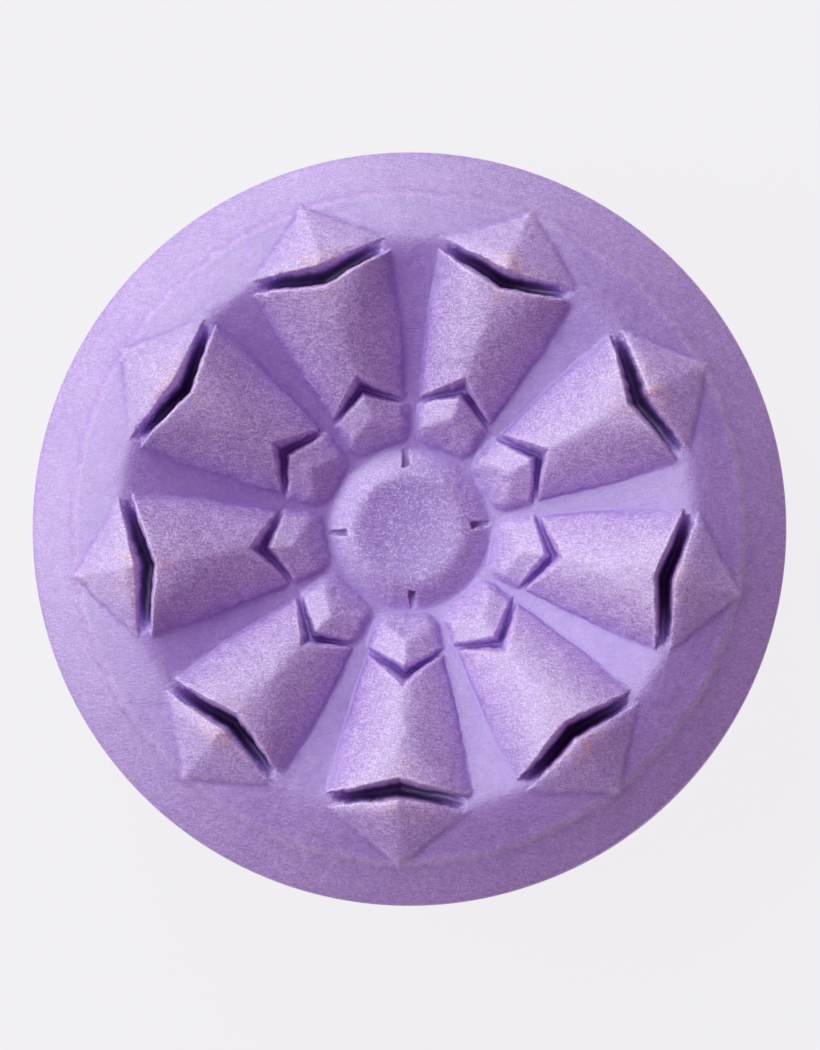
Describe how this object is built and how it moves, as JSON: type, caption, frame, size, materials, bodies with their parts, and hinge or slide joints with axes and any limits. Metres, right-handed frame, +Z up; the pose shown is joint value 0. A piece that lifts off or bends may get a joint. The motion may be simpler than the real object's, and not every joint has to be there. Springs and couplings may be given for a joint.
{
  "type": "silicone soap mould",
  "caption": "Round thin-walled silicone mould with a petal relief, lying mouth down over the soap bar cast in it; the mould lifts off the bar.",
  "frame": {"origin": "centre of the mould's mouth, on the surface that the mould and the bar stand on", "axes": "+Z up out of the relief, the way the mould peels off the bar; +X to the right when the relief is looked at from above with +Y up the page"},
  "size_m": [0.08, 0.08, 0.027],
  "materials": {
    "silicone": "matte purple silicone with a pearl powder bloom",
    "soap": "matte pale violet soap"
  },
  "bodies": {
    "bar": {"soap_bar": "soap"},
    "mould": {"mould_skin": "silicone"}
  },
  "joints": [
    {"name": "demould", "type": "slide", "parent": "bar", "child": "mould", "axis": [0, 0, 1], "range_m": [0, 0.04]}
  ]
}
